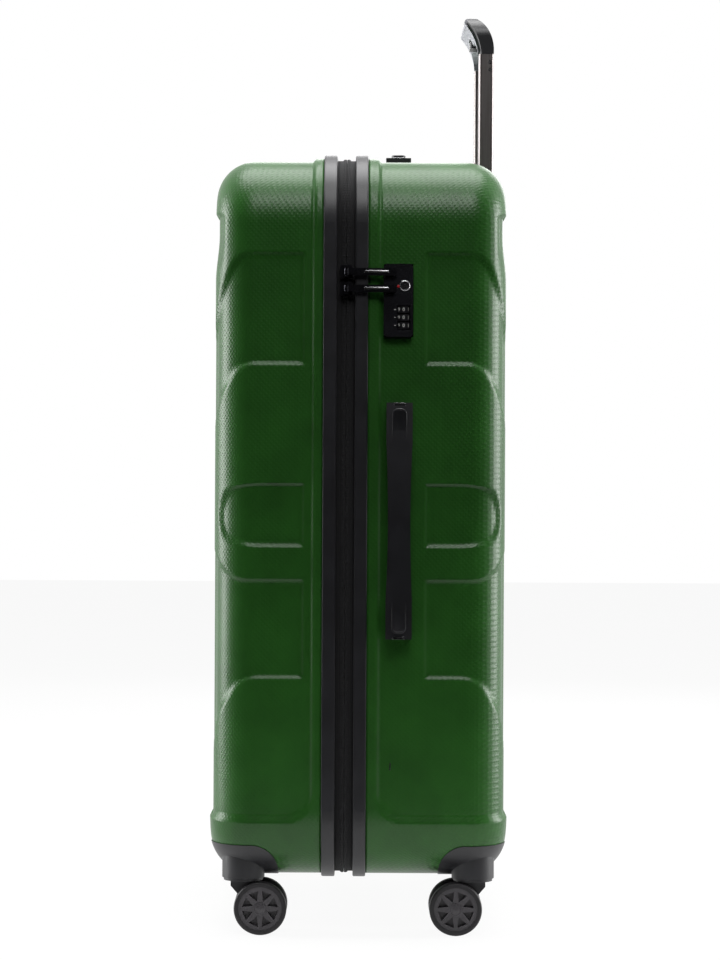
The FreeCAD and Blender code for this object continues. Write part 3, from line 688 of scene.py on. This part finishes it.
def zip_section(side, edge):
    """The tape's section with its coil: side is -1 for the lid, edge is the tape's far edge in Y."""
    def section_at(i):
        tooth = 0.5 + 0.5 * math.cos(i * math.pi / 2)
        near = ZIP_LINE + side * 0.15
        crown = TAPE_TOP - 0.9 + COIL_RISE * (0.35 + 0.65 * tooth)
        crown = min(crown, TAPE_TOP)
        base = TAPE_TOP - 1.4
        return [(base - 1.0, near), (crown - 0.5, near), (crown, near + side * 0.6),
                (crown, near + side * (COIL_WIDTH - 1.0)), (crown - 0.6, near + side * COIL_WIDTH),
                (base, near + side * (COIL_WIDTH + 0.5)), (base, edge), (base - 1.0, edge)]
    return section_at


def make_zip(name, side, edge, body, node):
    vertices, faces = swept_strip(fine_points, fine_normals, zip_section(side, edge))
    piece = mesh_piece(name, vertices, faces, finishes["zip_tape"], body)
    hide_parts(node)
    print(name, "has", len(fine_points) // 4, "teeth")


make_zip("lid_zip_half", -1, tape_low[1], "lid", "front_zip_tape")
make_zip("back_zip_half", 1, back_tape_high[1], "back_half", "back_zip_tape")

# %% [markdown]
# ## Floor and white background
# The case stands on a wide pale floor in front of a white studio. The studio is white behind and
# beside the case, and dark in front of it, as when a black cloth hangs there: that is
# what keeps the flat side deep green. To what is seen directly, the surroundings are plain white. The
# floor mixes plain white with its own lit colour, so that it stays pale yet keeps the shadow.

# %% Floor and world
def seen_directly(tree):
    """Two outputs: 1 for rays from the eye, and 1 for rays from a mirror or a glass."""
    path = tree.nodes.new("ShaderNodeLightPath").outputs
    shown = add_node(tree, "ShaderNodeMath", {"operation": "ADD"},
                     {0: path["Is Glossy Ray"], 1: path["Is Transmission Ray"]})
    return path["Is Camera Ray"], shown


def make_floor():
    mesh = bpy.data.meshes.new("floor")
    mesh.from_pydata([(-9, -9, 0), (0.6, -9, 0), (0.6, 9, 0), (-9, 9, 0)], [], [(0, 1, 2, 3)])
    floor = bpy.data.objects.new("floor", mesh)
    bpy.context.scene.collection.objects.link(floor)
    material, tree, shader = new_material("pale studio floor", "#eeeeee", 0.9)
    speck = add_node(tree, "ShaderNodeTexNoise", {"Scale": 1 / 300, "Detail": 3.0},
                     {"Vector": millimetres(tree)})
    add_node(tree, "ShaderNodeValToRGB", {"stops": ((0.3, "#e9e9e9"), (0.7, "#f2f2f2"))},
             {"Fac": speck}, [shader["Base Color"]])
    camera_ray, mirrored_ray = seen_directly(tree)
    white = add_node(tree, "ShaderNodeEmission", {"Color": (1, 1, 1, 1), "Strength": 1.0})
    shown = add_node(tree, "ShaderNodeMath", {"operation": "ADD", "use_clamp": True},
                     {0: camera_ray, 1: mirrored_ray})
    share = add_node(tree, "ShaderNodeMath", {"operation": "MULTIPLY", 1: 0.93}, {0: shown})
    surface = tree.nodes["Principled BSDF"].outputs[0]
    add_node(tree, "ShaderNodeMixShader", None, {0: share, 1: surface, 2: white},
             [tree.nodes["Material Output"].inputs["Surface"]])
    mesh.materials.append(material)


AMBIENT = 0.22


def make_world():
    world = bpy.data.worlds.new("studio")
    world.use_nodes = True
    tree = world.node_tree
    background = tree.nodes["Background"]
    background.inputs["Color"].default_value = (1, 1, 1, 1)
    direction = tree.nodes.new("ShaderNodeTexCoord").outputs["Generated"]
    apart = tree.nodes.new("ShaderNodeSeparateXYZ")
    tree.links.new(direction, apart.inputs[0])
    behind = add_node(tree, "ShaderNodeMapRange",
                      {"From Min": 0.35, "From Max": -0.1, "To Min": 0.0, "To Max": 1.0},
                      {"Value": apart.outputs["X"]})
    camera_ray, mirrored_ray = seen_directly(tree)
    mirrored = add_node(tree, "ShaderNodeMath", {"operation": "MULTIPLY"}, {0: mirrored_ray, 1: behind})
    shown = add_node(tree, "ShaderNodeMath", {"operation": "ADD"}, {0: mirrored, 1: camera_ray})
    ambient = add_node(tree, "ShaderNodeMath", {"operation": "MULTIPLY", 1: AMBIENT}, {0: behind})
    add_node(tree, "ShaderNodeMath", {"operation": "MAXIMUM"}, {0: shown, 1: ambient},
             [background.inputs["Strength"]])
    bpy.context.scene.world = world


make_floor()
make_world()
print("floor and white background ready")

# %% [markdown]
# ## Handle ends, lock face and small fittings
# A carry handle is a soft grip over a spring strip, with a hard pad let into each end and a bright
# stop plate where it meets the wall. The lock is a glossy block: number wheels behind a window, a key
# ring with a knurled edge, and a red dot that shows if it was opened. These parts are only a few
# millimetres across, yet they are what the eye goes to. Each is a rounded plate or a turned ring from
# two small functions, and the numbers are Blender text turned into mesh.

# %% Rounded plates and turned rings
AXES = {"side": ((0, 1, 0), (0, 0, 1), (1, 0, 0)), "top": ((0, 1, 0), (1, 0, 0), (0, 0, 1))}


def plate(name, centre, size, radius, depth, finish, body, facing="side", soften=0.5, sink=0.0):
    """A rounded rectangle that rises by depth from centre, its edge softened. size is (across, along);
    sink hollows its face by that much."""
    across, along, out = [np.array(axis, float) for axis in AXES[facing]]
    half_a, half_b = size[0] / 2 - radius, size[1] / 2 - radius
    ring = [(sa * half_a + radius * math.cos(angle), sb * half_b + radius * math.sin(angle))
            for q, (sa, sb) in enumerate(((1, 1), (-1, 1), (-1, -1), (1, -1)))
            for angle in np.radians(np.linspace(90 * q, 90 * q + 90, 9))]
    ring = np.array(ring)
    levels = [(0.0, 0.0), (depth - soften, 0.0)]
    levels += [(depth - soften + soften * math.sin(t), soften * (1 - math.cos(t)))
               for t in np.linspace(0.3, math.pi / 2, 5)]
    if sink:
        levels += [(depth, soften + 0.8), (depth - sink * 0.7, soften + 1.2), (depth - sink, soften + 2.0)]
    vertices, count = [], len(ring)
    for rise, inset in levels:
        shrink = 1 - inset / np.maximum(np.abs(ring), inset + 1e-6).max(axis=1)
        ringed = ring * shrink[:, None]
        vertices += [centre + across * a + along * b + out * rise for a, b in ringed]
    faces = grid_faces(len(levels), count) + [tuple(range(count))[::-1],
                                              tuple(range((len(levels) - 1) * count, len(levels) * count))]
    piece = mesh_piece(name, vertices, faces, finishes[finish], body)
    piece.data.shade_smooth()
    sharpen(piece)
    return piece


def sharpen(piece, angle=38):
    """Marks edges sharper than the angle, so that flat faces stay flat under smooth shading."""
    build = bmesh.new()
    build.from_mesh(piece.data)
    for edge in build.edges:
        if len(edge.link_faces) == 2 and edge.calc_face_angle(0) > math.radians(angle):
            edge.smooth = False
    build.to_mesh(piece.data)
    build.free()


def turned(name, centre, profile, finish, body, axis="X", segments=64, knurl=0.0, turns=0):
    """A profile of (radius, along) turned about an axis, closed on itself. knurl ripples the rim."""
    vertices = []
    for radius, along in profile:
        for k in range(segments):
            angle = 2 * math.pi * k / segments
            r = radius + knurl * math.cos(turns * angle) * (radius == max(p[0] for p in profile))
            a, b = r * math.cos(angle), r * math.sin(angle)
            offset = {"X": (along, a, b), "Y": (a, along, b), "Z": (a, b, along)}[axis]
            vertices.append(np.array(centre) + offset)
    rows = len(profile)
    faces = grid_faces(rows, segments)
    faces += [((rows - 1) * segments + k, (rows - 1) * segments + (k + 1) % segments,
               (k + 1) % segments, k) for k in range(segments)]
    piece = mesh_piece(name, vertices, faces, finishes[finish], body)
    sharpen(piece)
    return piece


# %% Handle ends
def handle_ends(body, facing, centre, length, foot):
    """Inset pads and bright stop plates at both ends of a handle."""
    along = np.array(AXES[facing][1], float)
    out = np.array(AXES[facing][2], float)
    for label, sign in (("a", 1), ("b", -1)):
        pad = centre + along * sign * (length / 2 - 24) + out * (foot + 12.2)
        plate(f"{body}_pad_{label}", pad, (14, 37), 5.5, 2.6, "handle_plastic", body,
              facing, soften=0.8, sink=0.9)
        strip = centre + along * sign * (length / 2 - 1.4) + out * (foot + 10.6)
        plate(f"{body}_strip_{label}", strip, (12, 2.4), 1.1, 1.0, "steel", body, facing, 0.3)


for handle, facing, centre in (("side_handle", "side", (HALF_WIDTH, CARRY_HANDLE_Y, side_handle_z)),
                               ("top_handle", "top", (0, CARRY_HANDLE_Y, TOP))):
    handle_ends(handle, facing, np.array(centre), CARRY_HANDLE_LENGTH, CARRY_HANDLE_FOOT)
print("pads and stop plates on both carry handles")


# %% Lock face
def lock_details():
    """Key ring, tamper dot, window frame and index lines on the lock's face."""
    low, high = [np.array(corner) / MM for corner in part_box("lock_case")]
    plug_low, plug_high = [np.array(corner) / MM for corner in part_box("lock_key_plug")]
    face = high[0] - 0.5
    key = (plug_low + plug_high) / 2
    turned("key_ring", (face, key[1], key[2]),
           [(3.7, 0.0), (4.9, 0.0), (4.9, 0.9), (4.5, 1.3), (3.9, 1.3), (3.7, 0.9)],
           "steel", "back_half", knurl=0.14, turns=28, segments=112)
    turned("tamper_dot", (face, key[1] - 6.2, key[2] - 0.5),
           [(0.02, 0.0), (1.3, 0.0), (1.3, 0.25), (0.9, 0.4), (0.02, 0.4)], "tamper_red", "back_half",
           segments=32)
    dials = [(np.array(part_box(f"lock_dial_{n}")[0]) + np.array(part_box(f"lock_dial_{n}")[1])) / 2 / MM
             for n in (1, 2, 3)]
    middle = dials[1]
    for label, y in (("left", middle[1] - 6.6), ("right", middle[1] + 6.6)):
        plate(f"window_rail_{label}", np.array((face, y, middle[2])), (0.7, 25), 0.3, 0.5,
              "lock_plastic", "back_half", soften=0.15)
    for number, dial in enumerate(dials, start=1):
        plate(f"index_line_{number}", np.array((face, middle[1] - 8.2, dial[2])), (1.6, 0.5), 0.2, 0.3,
              "number_white", "back_half", soften=0.1)
    return dials


finishes["tamper_red"] = moulded_plastic("red tamper dot", "#a3161b", "#b81d22", 0.35, 0.8, 0.02)
dial_centres = lock_details()


def dial_digits(number, centre):
    """Ten digits round one number wheel."""
    radius = (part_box(f"lock_dial_{number}")[1].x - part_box(f"lock_dial_{number}")[0].x) / 2
    meshes = bmesh.new()
    for digit in range(10):
        text = bpy.data.curves.new("digit", "FONT")
        text.body = str(digit)
        text.size = 0.0046
        text.align_x, text.align_y = "CENTER", "CENTER"
        text.extrude = 0.00012
        holder = bpy.data.objects.new("digit", text)
        mesh = bpy.data.meshes.new_from_object(holder)
        upright = Matrix.Rotation(math.radians(90), 4, "X")
        mesh.transform(Matrix.Rotation(math.radians(90), 4, "Z") @ upright)
        mesh.transform(Matrix.Translation((radius, 0, 0)))
        mesh.transform(Matrix.Rotation(math.radians(36 * digit), 4, "Z"))
        meshes.from_mesh(mesh)
        bpy.data.objects.remove(holder)
    result = bpy.data.meshes.new(f"dial_{number}_digits")
    meshes.to_mesh(result)
    meshes.free()
    result.transform(Matrix.Translation(Vector(centre * MM)))
    result.materials.clear()
    result.materials.append(finishes["number_white"])
    piece = bpy.data.objects.new(f"dial_{number}_digits", result)
    bpy.context.scene.collection.objects.link(piece)
    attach(piece, f"dial_{number}")


for dial_number, dial_centre in enumerate(dial_centres, start=1):
    dial_digits(dial_number, dial_centre)
print("digits on", len(dial_centres), "dials")


# %% Zip pull ends and wheel caps
def zip_pull_ends():
    for name in ("upper", "lower"):
        low, high = [np.array(corner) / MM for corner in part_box(f"zip_pull_{name}")]
        middle = (low + high) / 2
        blade = high[0] - 2.2
        plate(f"zip_pull_inlay_{name}", np.array((blade, middle[1] + 6, middle[2])), (24, 2.6), 1.2, 0.35,
              "steel", f"zip_pull_{name}_body", soften=0.15)


def wheel_caps():
    for row, sy in (("front", -1), ("back", 1)):
        for side, sx in (("lock", 1), ("hinge", -1)):
            low, high = [np.array(corner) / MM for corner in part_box(f"caster_hubs_{row}_{side}")]
            centre = (low + high) / 2
            for label, x, sign in (("outer", high[0], 1), ("inner", low[0], -1)):
                steps = [(0.02, 0.0), (6.4, 0.0), (6.4, 0.5), (5.4, 0.75), (5.1, 0.35), (3.2, 0.4),
                         (2.6, 0.75), (0.02, 0.8)]
                profile = [(radius, depth * sign) for radius, depth in steps]
                turned(f"hub_cap_{row}_{side}_{label}", (x, centre[1], centre[2]), profile, "hub_plastic",
                       f"wheels_{row}_{side}", segments=48)


zip_pull_ends()
wheel_caps()
print("small fittings in place")

# %% [markdown]
# ## Cloth at the hinge and inside
# On the far side there is no zip slider to open: a strip of strong tape joins the two halves and
# folds as the lid swings. Here it is one rippled sheet that rides on neither half, so it stays where
# it is when the lid swings. Inside, each half is lined with plain polyester, and a pair of crossed
# straps in the back half holds the clothes down. Straps are thin bands that sag a little between their
# ends.

# %% Hinge tape
def hinge_tape():
    low, high = [np.array(corner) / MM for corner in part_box("hinge_web")]
    x = (low[0] + high[0]) / 2
    across = np.linspace(low[1], high[1], 24)
    heights = np.linspace(low[2], high[2], 161)
    vertices = []
    for offset in (-0.35, 0.35):
        for z in heights:
            ripple = 0.12 * math.sin(z * math.pi / 7)
            vertices += [(x + offset + ripple, y, z) for y in across]
    faces = layered_faces(len(heights), len(across), wrap=False)
    piece = mesh_piece("hinge_tape", vertices, faces, finishes["strap"], None)
    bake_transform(piece)
    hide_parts("hinge_web")
    print("hinge tape", round(high[1] - low[1]), "by", round(high[2] - low[2]), "mm")


hinge_tape()


# %% Linings and packing straps
def lining_half(name, side, node, near, face, body):
    """A thin fabric tray inside one half, with a hem at its open edge."""
    base, outward, _, _ = half_surface(side, near, face, (), wall_step=12, ring_step=14, grow=-6.0)
    rows, columns, _ = base.shape
    base, outward = base.reshape(-1, 3), outward.reshape(-1, 3)
    drape = 0.35 * np.sin(base[:, 2] / 23) * np.sin(base[:, 0] / 31)
    middle = base + outward * (np.minimum(drape, 0.3) - 0.1)[:, None]
    vertices = np.vstack((middle + outward * 0.3, middle - outward * 0.3))
    faces = layered_faces(rows, columns, wrap=True)
    piece = mesh_piece(name, vertices, faces, finishes["lining"], body)
    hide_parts(node)
    print(name, len(faces), "faces")
    return piece


front_lining_low = np.array(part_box("front_lining")[0]) / MM
back_lining_high = np.array(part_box("back_lining")[1]) / MM
lining_half("lid_lining", -1, "front_lining", -45.0, -front_lining_low[1] - 0.6, "lid")
back_lining = lining_half("back_half_lining", 1, "back_lining", 19.0, back_lining_high[1] - 0.6,
                          "back_half")
COVER_HALF, COVER_DEPTH = 119, 30
cover_low, cover_high = CARRY_HANDLE_Y - 17, CARRY_HANDLE_Y + 17
lining_rooms = [((lock_low[0] - 6, lock_low[1] - 3, lock_low[2] - 2),
                 (HALF_WIDTH + 6, lock_high[1] + 3, lock_high[2] + 2)),
                ((HALF_WIDTH - COVER_DEPTH, cover_low, side_handle_z - COVER_HALF),
                 (HALF_WIDTH, cover_high, side_handle_z + COVER_HALF)),
                ((-COVER_HALF, cover_low, TOP - COVER_DEPTH), (COVER_HALF, cover_high, TOP))]
cut_openings(back_lining, lining_rooms)


def packing_straps():
    """Two crossed bands over the back half, each sagging a little in the middle."""
    depth, half_width, half_height, width = 30.0, 248.0, 250.0, 30.0
    centre_z = (BOTTOM + TOP) / 2
    for label, lean in (("rising", 1), ("falling", -1)):
        ends = [np.array((-half_width, depth + 8 * (lean > 0), centre_z - lean * half_height)),
                np.array((half_width, depth + 8 * (lean > 0), centre_z + lean * half_height))]
        run = ends[1] - ends[0]
        length = np.linalg.norm(run)
        cross = np.array((-run[2], 0, run[0])) / length
        shares = np.linspace(0, 1, 81)
        widths = np.linspace(-width / 2, width / 2, 7)
        sheet_rows = []
        for thickness in (-0.6, 0.6):
            for share in shares:
                sag = 9.0 * math.sin(math.pi * share)
                spot = ends[0] + run * share
                sheet_rows += [spot + cross * w + np.array((0, sag + thickness, 0)) for w in widths]
        faces = layered_faces(len(shares), len(widths), wrap=False)
        piece = mesh_piece(f"packing_strap_{label}", sheet_rows, faces, finishes["strap"], "back_half")
        print("packing strap", label, round(length), "mm long")


packing_straps()
